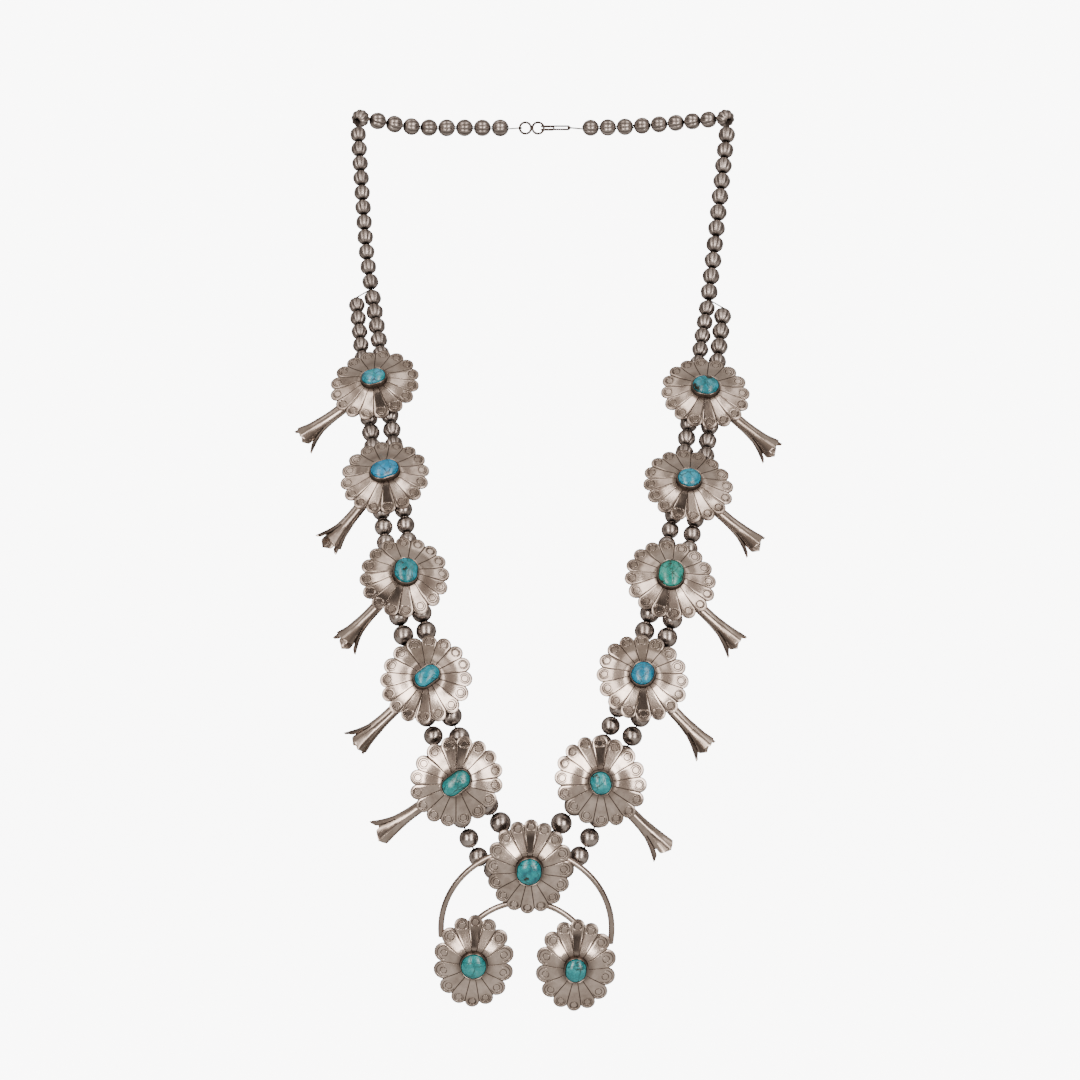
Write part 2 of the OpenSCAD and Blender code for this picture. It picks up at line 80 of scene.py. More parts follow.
def cappedFaces(grid):
    # the faces of a grid that closes round its columns, and one on its first and last row
    rows, columns = grid.shape[:2]
    ring = np.arange(columns)
    return [gridFaces(rows, columns, roundColumns=True),
            np.stack([ring, (rows - 1) * columns + ring[::-1]])]


def onCircle(angles):
    return np.stack([np.cos(angles), np.sin(angles)], axis=1)


def roundGrid(radius, angles, heights):
    return np.stack([radius * np.cos(angles), radius * np.sin(angles),
                     np.broadcast_to(heights, radius.shape)], axis=2)


def unitRows(vectors):
    return vectors / np.linalg.norm(vectors, axis=1, keepdims=True)


def thickSheet(front, back, roundColumns=False):
    # two grids of points, one behind the other, joined around their open edges
    rows, columns = front.shape[:2]
    count = rows * columns
    quads = [gridFaces(rows, columns, roundColumns=roundColumns)]
    quads.append(quads[0][:, ::-1] + count)
    index = np.arange(count).reshape(rows, columns)
    edges = [(index[0], roundColumns), (index[-1][::-1], roundColumns)]
    if not roundColumns:
        edges += [(index[:, -1], False), (index[::-1, 0], False)]
    for edge, isRound in edges:
        after = np.roll(edge, -1)
        if not isRound:
            edge, after = edge[:-1], after[:-1]
        quads.append(np.stack([edge, after, after + count, edge + count], axis=1))
    points = np.concatenate([front.reshape(-1, 3), back.reshape(-1, 3)])
    return points, [np.concatenate(quads)]


def addObject(name, data):
    added = bpy.data.objects.new(name, data)
    bpy.context.scene.collection.objects.link(added)
    return added


def placePiece(name, mesh, material, replaced, sharpAngle):
    mesh.shade_smooth()
    mesh.set_sharp_from_angle(angle=math.radians(sharpAngle))
    mesh.materials.append(material)
    piece = addObject(name, mesh)
    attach(piece, "root")
    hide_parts(replaced)
    return piece


def addValues(mesh, name, values):
    attribute = mesh.attributes.new(name, "FLOAT", "POINT")
    attribute.data.foreach_set("value", values.astype(np.float32))


def turnOutwards(mesh, source, weld=False):
    # fills a mesh with another's faces, all turned outwards
    builder = bmesh.new()
    builder.from_mesh(source)
    if weld:
        bmesh.ops.remove_doubles(builder, verts=builder.verts, dist=1e-6)
    bmesh.ops.recalc_face_normals(builder, faces=builder.faces)
    builder.to_mesh(mesh)
    builder.free()


def makePiece(name, shells, material, replaced, sharpAngle=40):
    points, blocks, patina = joined(shells)
    mesh = bpy.data.meshes.new(name)
    faces = sum((block.tolist() for block in blocks), [])
    mesh.from_pydata((points * millimetre).tolist(), [], faces)
    turnOutwards(mesh, mesh)
    addValues(mesh, "patina", patina)
    return placePiece(name, mesh, material, replaced, sharpAngle)


def plateFrame(place, tilt, turn, roll=0):
    # columns: to the right, upwards and outwards from a plate, and its middle
    across, forward, up = place
    tilt, turn, roll = (math.radians(angle) for angle in (tilt, turn, roll))
    outward = np.array([math.sin(turn) * math.cos(tilt), -math.cos(turn) * math.cos(tilt),
                        math.sin(tilt)])
    level = np.array([math.cos(turn), math.sin(turn), 0.0])
    right = level * math.cos(roll) + np.cross(outward, level) * math.sin(roll)
    axes = np.stack([right, np.cross(outward, right), outward], axis=1)
    return axes, np.array((across, -forward, up), float)


def toWorld(points, plateAxes, middle):
    return points @ plateAxes.T + middle


def turned(points, angle):
    c, s = math.cos(math.radians(angle)), math.sin(math.radians(angle))
    return points @ np.array([[c, s, 0], [-s, c, 0], [0, 0, 1]])


# Materials

def linearColour(code):
    # Each channel of an sRGB hex code is a share of 255. Its curve is undone: a
    # straight line for the darkest values, and a power of 2.4 above them.
    channels = [int(code[i:i + 2], 16) / 255 for i in (1, 3, 5)]
    return [c / 12.92 if c <= 0.04045 else ((c + 0.055) / 1.055) ** 2.4
            for c in channels] + [1.0]


def setInputs(tree, node, inputs):
    for socket, value in inputs.items():
        if isinstance(value, bpy.types.NodeSocket):
            tree.links.new(value, node.inputs[socket])
        else:
            node.inputs[socket].default_value = value


def addNode(tree, kind, inputs=None, **attributes):
    node = tree.nodes.new(kind)
    for name, value in attributes.items():
        setattr(node, name, value)
    setInputs(tree, node, inputs or {})
    return node


def maths(tree, operation, *values, clamp=False):
    return addNode(tree, "ShaderNodeMath", dict(enumerate(values)), operation=operation,
                   use_clamp=clamp).outputs[0]


def vectorMaths(tree, operation, *values):
    return addNode(tree, "ShaderNodeVectorMath", dict(enumerate(values)), operation=operation)


def ranged(tree, value, start, end, low=0.0, high=1.0):
    # what goes from start to end in the value goes from low to high here
    return addNode(tree, "ShaderNodeMapRange", {
        "Value": value, "From Min": start, "From Max": end, "To Min": low,
        "To Max": high}).outputs["Result"]


def noise(tree, place, scale, detail, roughness=0.5, output="Fac"):
    return addNode(tree, "ShaderNodeTexNoise", {
        "Vector": place, "Scale": scale, "Detail": detail,
        "Roughness": roughness}).outputs[output]


def pointValue(tree, name):
    return addNode(tree, "ShaderNodeAttribute", attribute_name=name).outputs["Fac"]


def mixed(tree, factor, first, second):
    return addNode(tree, "ShaderNodeMix", {"Factor": factor, "A": first, "B": second},
                   data_type="RGBA").outputs["Result"]


def bumped(tree, height, strength, depth, under=None, invert=False):
    bump = addNode(tree, "ShaderNodeBump", {
        "Height": height, "Strength": strength, "Distance": depth}, invert=invert)
    if under is not None:
        setInputs(tree, bump, {"Normal": under})
    return bump.outputs["Normal"]


def newMaterial(name):
    material = bpy.data.materials.new(name)
    material.use_nodes = True
    tree = material.node_tree
    tree.nodes.clear()
    surface = addNode(tree, "ShaderNodeBsdfPrincipled")
    addNode(tree, "ShaderNodeOutputMaterial", {"Surface": surface.outputs[0]})
    return material, tree, surface


def toneRamp(tree, factor, tones):
    # a colour ramp through pairs of a position and a tone
    ramp = addNode(tree, "ShaderNodeValToRGB", {"Fac": factor})
    stops = ramp.color_ramp.elements
    for i, (position, code) in enumerate(tones):
        stop = stops[i] if i < 2 else stops.new(position)
        stop.position = position
        stop.color = linearColour(code)
    return ramp.outputs["Color"]


def lineMask(tree, distance, halfWidth, softness):
    # 1 on a line and 0 away from it, from a distance to its middle
    return ranged(tree, distance, halfWidth, halfWidth + softness, 1.0, 0.0)


# What is chased and stamped into the petals. A line is half its width and a soft edge.
chasing = {
    "mapUnit": 10,  # the petal map is in centimetres
    "stampRadius": 1.15,  # a stamped ring in each petal's tip
    "stampLine": (0.05, 0.11),
    "borderInset": 1.05,  # the line along the rim
    "borderLine": (0.06, 0.11),
    "borderFades": (-1.6, 0.0),  # it fades in on the way out to the middle of the tip
    "notchLine": (0.08, 0.09),  # the lines between the petals
    "dark": 0.95,
    "strength": 0.6,
    "depth": 0.0002,
}


def chasedLines(tree):
    # The petal map and the border count from the middle of the petal's tip, and the
    # notch line from the line between two petals.
    unit = chasing["mapUnit"]
    petalMap = addNode(tree, "ShaderNodeUVMap", uv_map="petal").outputs["UV"]
    fromTip = vectorMaths(tree, "LENGTH", petalMap).outputs["Value"]
    border = pointValue(tree, "border")
    stamp, rim = (
        lineMask(tree, maths(tree, "ABSOLUTE", maths(tree, "SUBTRACT", fromTip, line)),
                 *(width / unit for width in widths))
        for line, widths in ((chasing["stampRadius"] / unit, chasing["stampLine"]),
                             (border, chasing["borderLine"])))
    outward = addNode(tree, "ShaderNodeSeparateXYZ", {0: petalMap}).outputs["X"]
    outside = ranged(tree, outward, *(place / unit for place in chasing["borderFades"]))
    notch = pointValue(tree, "notchLine")
    lines = maths(tree, "MAXIMUM", stamp, maths(tree, "MULTIPLY", rim, outside))
    return maths(tree, "MAXIMUM", lines, lineMask(tree, notch, *chasing["notchLine"]))


# Noises here and in the next dictionaries: scale, detail and roughness.
silver = {
    "cloudTones": (0.32, 0.66),  # where the tarnish's noise is dull and where it is bright
    "cloudRoughness": (0.3, 0.7),  # the same for its roughness
    "patinaShare": 0.66,
    "patinaRoughness": 0.3,
    # polishing scratches are much finer than a pixel and are drawn about 0.4 mm apart
    "scratches": (2600.0, 2.0),
    "scratch": 0.05,
    "scratchDepth": 0.0002,
    "hammerDepth": 0.001,
}


def silverMaterial(name, finish, chased=False):
    # Sterling silver that was hammered and polished by hand and has darkened: soft
    # reflections, and brown-black patina wherever a cloth doesn't reach.
    material, tree, surface = newMaterial(name)
    place = addNode(tree, "ShaderNodeTexCoord").outputs["Object"]
    cloud = noise(tree, place, *finish["clouds"])
    dullAt, brightAt = silver["cloudTones"]
    tone = toneRamp(tree, cloud, ((dullAt, finish["dull"]), (brightAt, finish["bright"])))
    # the point's patina, and as much again in the clouds
    patina = pointValue(tree, "patina")
    darkness = maths(tree, "MULTIPLY_ADD", patina, cloud, patina)
    darkness = maths(tree, "MULTIPLY", darkness, silver["patinaShare"], clamp=True)
    if chased:
        lines = chasedLines(tree)
        darkness = maths(tree, "MAXIMUM", darkness,
                         maths(tree, "MULTIPLY", lines, chasing["dark"]))
    smooth, rough = finish["roughness"]
    roughness = maths(tree, "ADD", ranged(tree, cloud, *silver["cloudRoughness"], rough, smooth),
                      maths(tree, "MULTIPLY", darkness, silver["patinaRoughness"]), clamp=True)
    # shallow hammer waves under the scratches
    hammer = noise(tree, place, *finish["hammerWaves"])
    scratches = noise(tree, place, *silver["scratches"])
    normal = bumped(tree, hammer, finish["hammer"], silver["hammerDepth"])
    normal = bumped(tree, scratches, silver["scratch"], silver["scratchDepth"], normal)
    if chased:
        normal = bumped(tree, lines, chasing["strength"], chasing["depth"], normal, invert=True)
    setInputs(tree, surface, {
        "Metallic": 1.0, "Roughness": roughness, "Normal": normal,
        "Base Color": mixed(tree, darkness, tone, linearColour(finish["patina"]))})
    return material


# Clouds and hammer waves are about 6 mm across on the sheet. They are smaller on the
# beads, which are duller, and the drawn wire is grey.
sheetFinish = {"bright": "#e0d3c9", "dull": "#b0a399", "patina": "#33261f",
               "roughness": (0.1, 0.18), "clouds": (160.0, 4.0, 0.6),
               "hammerWaves": (170.0, 1.0), "hammer": 0.06}
beadFinish = dict(sheetFinish, bright="#d3cbc6", dull="#9c948f", patina="#211a16",
                  roughness=(0.19, 0.3), clouds=(260.0, 4.0, 0.6), hammerWaves=(420.0, 1.0))
wireFinish = dict(sheetFinish, bright="#5f5751", dull="#3d3733", roughness=(0.3, 0.45),
                  hammer=0.02)
silverSheet = silverMaterial("ChasedSilverSheet", sheetFinish, chased=True)
silverBeads = silverMaterial("DarkenedSilverBeads", beadFinish)
silverWire = silverMaterial("DrawnSilverWire", wireFinish)
print("silver made")


turquoise = {
    "clouds": (330.0, 5.0, 0.62),
    "cloudTones": (0.3, 0.5, 0.7),  # deep, main and light
    "cracks": 210.0,  # about 5 mm apart
    "crackLine": (0.012, 0.05),
    "bends": (500.0, 3.0),
    "bend": 0.0022,
    "blotches": (250.0, 6.0),
    "blotchEdge": 0.07,
    "fadeAt": (0.38, 0.6),
    "fade": (0.15, 0.85),
    "pit": 0.25,
    "pitDepth": 0.0002,
    "matrix": "#1c2418",
    "polish": {"Roughness": 0.22, "IOR": 1.61, "Coat Weight": 0.15, "Coat Roughness": 0.08},
}


def stoneMaterial(name, tones, matrixFrom, offset):
    # Turquoise, cut and polished: waxy blue-green with dark brown matrix in its cracks.
    # Each crack is bent by a noise, and blotches of matrix begin at the given level.
    material, tree, surface = newMaterial(name)
    place = addNode(tree, "ShaderNodeTexCoord").outputs["Object"]
    place = addNode(tree, "ShaderNodeMapping", {"Vector": place, "Location": offset}).outputs[0]
    cloud = noise(tree, place, *turquoise["clouds"])
    tone = toneRamp(tree, cloud, zip(turquoise["cloudTones"], tones))
    bend = noise(tree, place, *turquoise["bends"], output="Color")
    bend = vectorMaths(tree, "MULTIPLY", bend, (turquoise["bend"],) * 3).outputs[0]
    crack = addNode(tree, "ShaderNodeTexVoronoi", {
        "Vector": vectorMaths(tree, "ADD", place, bend).outputs[0],
        "Scale": turquoise["cracks"]}, feature="DISTANCE_TO_EDGE").outputs["Distance"]
    fade = ranged(tree, cloud, *turquoise["fadeAt"], *turquoise["fade"])
    veins = maths(tree, "MULTIPLY", lineMask(tree, crack, *turquoise["crackLine"]), fade)
    blotches = ranged(tree, noise(tree, place, *turquoise["blotches"]), matrixFrom,
                      matrixFrom + turquoise["blotchEdge"])
    matrix = maths(tree, "MAXIMUM", veins, blotches, clamp=True)
    setInputs(tree, surface, turquoise["polish"])
    setInputs(tree, surface, {
        "Base Color": mixed(tree, matrix, tone, linearColour(turquoise["matrix"])),
        "Normal": bumped(tree, matrix, turquoise["pit"], turquoise["pitDepth"], invert=True)})
    return material


# Flower plates

plates = {
    "length": 33.5,
    "width": 30.5,
    "rise": 3.0,
    "sheet": 0.7,
    "petals": 16,
    "overlap": 1.08,
    # share of half the length, share of the rise
    "profile": ((0, 1), (0.34, 1.0), (0.45, 0.77), (0.57, 0.5), (0.68, 0.31), (0.8, 0.17),
                (0.92, 0.07), (1.05, 0)),
    # columns of one petal, from notch to notch, close together beside the chased line
    "columns": (0, 0.035, 0.1, 0.22, 0.36, 0.5, 0.64, 0.78, 0.9, 0.965),
    # rows, as shares of the way from the middle to the rim
    "rows": (0.02, 0.16, 0.27, 0.34, 0.4, 0.47, 0.55, 0.63, 0.71, 0.79, 0.86, 0.92, 0.96, 1.0),
    "flatness": 0.8,  # 1 makes every petal a flat facet, 0 leaves the round cone
    "bulge": (0.0, 0.05),  # least and most that a petal stands up from its lines
    "sway": 0.06,  # how far a petal is tipped to one side
    "shoulder": 0.1,  # share of a petal's width in which it rises from its line
    "opening": (0.4, 0.3),  # where the petals begin on the way out, and how soon they are full
    "groove": 0.05,
    "grooveWidth": 0.03,
    "rimRound": 0.04,
    "rimWear": 0.12,
    # patina: beside the bezel, at the rim and on the back
    "middleDark": {"from": 0.3, "reach": 1.8, "power": 1.5, "most": 0.6},
    "rimDark": {"reach": 0.06, "most": 0.6},
    "backDark": 0.45,
}


def petalTips(length, width, count):
    # middles of the round petal tips on an oval, and their radii
    pitch = math.sin(math.pi / count) * plates["overlap"]
    inset = (length + width) / 4 * pitch / (1 + pitch)
    angles = fullTurn(count)
    tips = np.stack([(length / 2 - inset) * np.cos(angles),
                     (width / 2 - inset) * np.sin(angles)], axis=1)
    apart = np.linalg.norm(np.roll(tips, -1, axis=0) - np.roll(tips, 1, axis=0), axis=1)
    return tips, apart * plates["overlap"] / 4


def plateShell(length, width, count, rng):
    # A plate is a polar grid. Its edge is the farthest point at which a ray from
    # the middle leaves a petal tip's circle, and its height follows the profile.
    tips, radii = petalTips(length, width, count)
    inPetal, shares = np.array(plates["columns"]), np.array(plates["rows"])
    tipAngles = np.unwrap(np.arctan2(tips[:, 1], tips[:, 0]))
    before = np.roll(tipAngles, 1)
    before[0] -= 2 * math.pi
    notch = (tipAngles + before) / 2
    petalAngle = np.append(notch[1:], notch[0] + 2 * math.pi) - notch
    angles = (notch[:, None] + petalAngle[:, None] * inPetal[None, :]).ravel()
    petal = np.repeat(np.arange(count), len(inPetal))
    lateral = np.tile(inPetal, count)
    fromNotch = np.minimum(lateral, 1 - lateral)
    ray = onCircle(angles)
    along = ray @ tips.T
    inside = radii[None, :] ** 2 - (tips ** 2).sum(1)[None, :] + along ** 2
    reach = np.where(inside > 0, along + np.sqrt(np.maximum(inside, 0)), 0).max(axis=1)
    distance = shares[:, None] * reach[None, :]
    # Hammered petals are nearly flat between their lines, so they mirror as facets do:
    # the distance that gives the height is the one to the facet's own foot.
    profile = np.array(plates["profile"])
    halfPetal = petalAngle[petal] / 2
    facet = (np.cos((lateral - 0.5) * 2 * halfPetal) / np.cos(halfPetal)) ** plates["flatness"]
    height = np.interp(distance * facet / (length / 2), profile[:, 0],
                       profile[:, 1]) * plates["rise"]
    # every petal stands up and is tipped by its own amount, and sinks to the chased lines
    shoulders = (0, plates["shoulder"], 1 - plates["shoulder"], 1)
    raised = np.interp(lateral, shoulders, (0, 1, 1, 0))
    tipped = np.interp(lateral, shoulders, (0, -1, 1, 0))
    dome = (rng.uniform(*plates["bulge"], count)[petal] * raised
            + rng.uniform(-plates["sway"], plates["sway"], count)[petal] * tipped)
    begin, full = plates["opening"]
    opening = np.clip((shares[:, None] - begin) / full, 0, 1)
    rounded = np.clip((1 - shares[:, None]) / plates["rimRound"], 0, 1) ** 0.5
    line = np.exp(-(fromNotch / plates["grooveWidth"]) ** 2)
    front = (height + plates["sheet"] + dome * opening * rounded
             - plates["groove"] * line * opening - plates["rimWear"] * (1 - rounded))
    flat = ray[None] * distance[..., None]
    points, blocks = thickSheet(np.concatenate([flat, front[..., None]], axis=2),
                                np.concatenate([flat, height[..., None]], axis=2),
                                roundColumns=True)
    # dark where the polish doesn't reach
    middle, rim = plates["middleDark"], plates["rimDark"]
    fromBezel = np.clip(1 - (distance - middle["from"] * length / 2) / middle["reach"], 0, 1)
    toRim = np.clip((shares[:, None] - 1 + rim["reach"]) / rim["reach"], 0, 1)
    dark = fromBezel ** middle["power"] * middle["most"] + toRim * rim["most"]
    patina = np.concatenate([dark.ravel(), np.full(distance.size, plates["backDark"])])
    toLine = np.minimum(fromNotch * petalAngle[petal], math.pi / 2)
    return points, blocks, patina, {
        "petal": petal, "tips": tips, "radii": radii, "columns": len(angles),
        "rows": len(shares), "flat": flat.reshape(-1, 2),
        "lines": (distance * np.sin(toLine)[None]).ravel()}


def addPetalMap(piece, plateParts):
    # The petal map holds, at each corner of a face, the place from the middle of the
    # petal's tip: outwards and sideways. Everything else is far from every line.
    mesh = piece.data
    loopPoint = np.empty(len(mesh.loops), np.int32)
    mesh.loops.foreach_get("vertex_index", loopPoint)
    loopStart = np.empty(len(mesh.polygons), np.int32)
    mesh.polygons.foreach_get("loop_start", loopStart)
    unit, farLine, farBorder = chasing["mapUnit"], 9.0, 5.0
    petalMap = np.full((len(mesh.loops), 2), farLine)
    lines = np.full(len(mesh.vertices), farLine)
    border = np.full(len(mesh.vertices), farBorder)
    for firstPoint, firstFace, info in plateParts:
        columns, rows = info["columns"], info["rows"]
        count = (rows - 1) * columns  # only the faces of the front
        corners = loopStart[firstFace:firstFace + count][:, None] + np.arange(4)[None]
        tips = info["tips"][np.tile(info["petal"], rows - 1)]
        outward = unitRows(tips)
        fromTip = info["flat"][loopPoint[corners] - firstPoint] - tips[:, None]
        along = (fromTip * outward[:, None]).sum(2)
        across = fromTip[..., 0] * -outward[:, None, 1] + fromTip[..., 1] * outward[:, None, 0]
        petalMap[corners] = np.stack([along, across], axis=2) / unit
        front = slice(firstPoint, firstPoint + rows * columns)
        lines[front] = info["lines"]
        border[front] = np.tile(info["radii"][info["petal"]] - chasing["borderInset"],
                                rows) / unit
    layer = mesh.uv_layers.new(name="petal")
    layer.data.foreach_set("uv", petalMap.astype(np.float32).ravel())
    addValues(mesh, "notchLine", lines)
    addValues(mesh, "border", border)


# Bezels and the stones in them

settings = {
    "height": 2.0,
    "wall": 0.5,
    "gap": 0.1,
    "around": 72,
    "foot": 0.12,  # how far the soldered foot stands out
    "footHeights": (0.75, 0.95),
    # the lip's rounding outside and inside: inwards or outwards, and down from the top
    "lipOutside": ((0.02, 0.35), (0.12, 0.12)),
    "lipInside": ((0.05, 0.1), (0, 0.3)),
    "patina": (0.9, 1, 0.95, 0.9, 0.75, 0.55, 0.45, 0.75, 1),
}
stones = {
    "dome": 1.5,
    "around": 96,
    # rings as shares of the outline: the flat foot, the upright girdle and the dome
    "foot": (0, 0.5, 0.999),
    "girdle": (1, 1),
    "rings": (0.985, 0.95, 0.88, 0.78, 0.65, 0.5, 0.33, 0.16, 0.02),
    "bevel": 0.25,
    "powers": (2.3, 0.62),
    "waves": 3,
    "waveHeight": 0.16,
    "leastShare": 0.004,
}


def ovalOutline(length, width, count):
    # an oval with round ends, as a half circle at each end of a middle line
    angles = (np.arange(count) + 0.5) * 2 * math.pi / count
    outline = onCircle(angles) * width / 2
    outline[:, 0] += np.sign(np.cos(angles)) * (length - width) / 2
    return outline


def bezelShell(length, width, angle):
    # a thin wall round the stone: upright outside, with a rounded lip that leans in
    room, around = settings["gap"], settings["around"]
    outside = settings["wall"] + room
    base = plates["rise"]
    top = base + plates["sheet"] + settings["height"]
    footLow, footHigh = settings["footHeights"]
    section = [(room, base), (outside, base), (outside + settings["foot"], base + footLow),
               (outside, base + footHigh)]
    section += [(outside - inwards, top - down) for inwards, down in settings["lipOutside"]]
    section += [(settings["wall"] / 2 + room, top)]
    section += [(room + outwards, top - down) for outwards, down in settings["lipInside"]]
    grid = np.stack([np.concatenate([
        ovalOutline(length + 2 * out, width + 2 * out, around),
        np.full((around, 1), height)], axis=1) for out, height in section])
    return (turned(grid.reshape(-1, 3), angle), [gridFaces(len(section), around, True, True)],
            np.repeat(settings["patina"], around))


def stoneShell(length, width, angle, rng):
    # A cabochon: rings of the outline shrink while the height rises on a flattened
    # round, and slow waves around it make it a hand-cut one.
    base = plates["rise"] + plates["sheet"] + settings["gap"]
    wallTop = settings["height"] - stones["bevel"]
    dome = stones["dome"] + settings["height"] - wallTop
    outward, upward = stones["powers"]
    rings = np.array(stones["rings"])
    shares = np.concatenate([stones["foot"], stones["girdle"], rings])
    heights = np.concatenate([np.zeros(len(stones["foot"])), (stones["bevel"], wallTop),
                              wallTop + dome * (1 - rings ** outward) ** upward])
    outline = ovalOutline(length, width, stones["around"])
    around = np.arctan2(outline[:, 1], outline[:, 0])
    wave = sum(rng.uniform(-0.5, 0.5) * np.cos((k + 2) * around + rng.uniform(0, 6)) / (k + 1)
               for k in range(stones["waves"]))
    waved = np.where(np.arange(len(shares)) < len(shares) - len(rings), 0,
                     shares * (1 - shares) * 4)
    lift = wave[None] * stones["waveHeight"] * waved[:, None]
    flat = outline[None] * np.maximum(shares, stones["leastShare"])[:, None, None]
    grid = np.concatenate([flat, ((heights + base)[:, None] + lift)[..., None]], axis=2)
    return turned(grid.reshape(-1, 3), angle), cappedFaces(grid), 0.0


# Trumpets, behind the rims of the blossoms

trumpets = {
    "length": 22.5,
    "tube": 4.1,
    "mouth": 10.0,
    "sheet": 0.6,
    "split": 13.0,  # where the petals part, along its length
    "root": 11.5,  # its start, from the middle of the plate
    "dip": 9,
    "sink": 0.3,
    # shares of the length, and of the way from the tube out to the mouth
    "flare": ((0, 0), (0.3, 0), (0.4, 0.03), (0.5, 0.1), (0.6, 0.2), (0.68, 0.32), (0.77, 0.48),
              (0.85, 0.66), (0.93, 0.84), (1, 1)),
    "around": 48,
    "rings": (0, 0.3, 0.6, 4, 8, 10, 11.5, 12.5, 13.1),  # along the tube
    "rootRound": (-0.5, -0.1, 0, 0, 0, 0, 0, 0, 0),
    "closed": (2, 0.05),  # inside, these rings shrink to this share and close the root
    "tubePatina": (0.22, 0.85),  # outside and inside
    # shares of the way from the split to the tip, and half a slit's width by the mouth's
    "slit": ((0, 0.003), (0.35, 0.008), (0.6, 0.02), (0.8, 0.055), (0.9, 0.1), (1, 0.17)),
    "overSplit": 0.3,  # the petals start this far before the split
    "curl": 0.15,  # how far a petal's edges roll in
    "keel": 0.35,  # height of the fold along a petal's middle
    "corner": 0.7,  # how much shorter a petal is at its edges
    "tipRound": (0.86, 0.1405),  # where its tip begins to round off, and over what share
    # the front petal's angle from the viewer's side, and on which side of it, counted
    # the same way, a petal is cut narrow and bent out like a claw
    "fronts": ((14, -20, 16, -14, -16), (-16, -14, -18, -18, -14)),
    "claws": ((-1, 1, -1, 1, 1), (1, 1, 1, 1, 1)),
    # front petal, next on the claw's side, the back one and the last: angle from the
    # front petal, share of a quarter turn, share of the slits' width there, and how far
    # the tip is bent out
    "cut": ((0, 1.2, 0.65, 0), (98, 0.92, 1, 1.0), (184, 1, 1, 0), (-80, 1.0, 0.6, -1.1)),
    "handBend": (-0.35, 0.25),
    "handLength": (0.95, 1.0),
    "petalPatina": (0.15, 0.2, 0.3),  # outside, added at its edges, and inside
}


def trumpetShells(front, claw, rng):
    # A rolled tube along z opens into four broad petals. A petal lies on the flare,
    # leaves the slits free, rolls in at its edges and has a fold along its middle.
    length, tube, sheet = trumpets["length"], trumpets["tube"] / 2, trumpets["sheet"]
    flare, slit = np.array(trumpets["flare"]), np.array(trumpets["slit"])
    reach, keel = trumpets["mouth"] / 2 - tube, trumpets["keel"]
    z = np.array(trumpets["rings"])
    r = (tube + reach * np.interp(z / length, flare[:, 0], flare[:, 1])
         + np.array(trumpets["rootRound"]))
    around = fullTurn(trumpets["around"])
    fold = 0.5 * keel * np.abs(np.cos(2 * (around - math.radians(front)))) ** 6
    folded = r[:, None] + fold * (z[:, None] / length)
    outer = roundGrid(folded, around, z[:, None])
    inner = outer.copy()
    inner[..., :2] *= ((r - sheet) / r)[:, None, None]
    closedRings, closedShare = trumpets["closed"]
    inner[:closedRings, :, :2] *= closedShare
    shells = [thickSheet(outer, inner, roundColumns=True)
              + (np.repeat(trumpets["tubePatina"], folded.size),)]
    roundFrom, roundOver = trumpets["tipRound"]
    outsideDark, edgeDark, insideDark = trumpets["petalPatina"]
    v = np.append(np.linspace(0, 0.82, 15), np.linspace(roundFrom, 1, 9))
    u = np.linspace(-1, 1, 13)
    for turn, share, slitShare, bend in trumpets["cut"]:
        tipAt = length * rng.uniform(*trumpets["handLength"])
        lean = rng.uniform(*trumpets["handBend"]) + bend
        start = trumpets["split"] - trumpets["overSplit"]
        along = start + (tipAt - start) * v
        out = (tube + reach * np.interp(along / length, flare[:, 0], flare[:, 1])
               + lean * v ** 1.5)
        share = 1 + (share - 1) * np.clip(v * 2.5, 0, 1)  # all are alike where they part
        half = share * math.pi / 4 - slitShare * np.arcsin(
            np.interp(v, slit[:, 0], slit[:, 1]) * trumpets["mouth"] / out)
        half = half * np.sqrt(1 - np.clip((v - roundFrom) / roundOver, 0, 1) ** 2)
        angle = math.radians(front + turn * claw) + half[:, None] * u[None]
        curl = trumpets["curl"] * u[None] ** 2 * (v * (1.25 - 0.6 * v))[:, None]
        radius = out[:, None] - curl + keel * v[:, None] * np.maximum(1 - 3 * np.abs(u), 0)[None]
        height = along[:, None] - trumpets["corner"] * u[None] ** 2 * v[:, None] ** 3
        outer, inner = (roundGrid(r, angle, height) for r in (radius, radius - sheet))
        edge = outsideDark + edgeDark * np.broadcast_to(np.abs(u[None]) ** 6, radius.shape)
        patina = np.concatenate([edge.ravel(), np.full(radius.size, insideDark)])
        shells.append(thickSheet(outer, inner) + (patina,))
    return shells


# The blossoms hang on two strings, which end at the pendant.

# across, forward, up, shift, tilt, turn, trumpet angle, stone length, width, angle
blossoms = (
    ((-60.5, 76, -99.5, 0, 36.5, -5, 219.5, 8.4, 6.2, 18),
     (-56, 101.5, -133, -1.2, 37, 0, 234, 9.8, 7.2, 22),
     (-48.5, 124, -168, 0, 30, 10, 226, 9.6, 7.8, 80),
     (-40.5, 140.5, -203, -0.5, 18, 5, 222.5, 9.2, 5.6, 36),
     (-30, 145, -237.5, -1.8, -5, 0, 216, 10.4, 6.2, 38)),
    ((58, 76, -102.5, 0.9, 36, 0, 317, 9.2, 7.8, 170),
     (51, 101.5, -136, -0.8, 36, 4, 316, 7.9, 7.5, 10),
     (44, 124, -169, 0, 30, 3, 315, 10.2, 8.4, 80),
     (34, 140.5, -202.5, 0, 22, 0, 313, 8.3, 7.4, 60),
     (19.5, 145, -237.5, 0, -5, 0, 313, 7.8, 6.8, 110)),
)
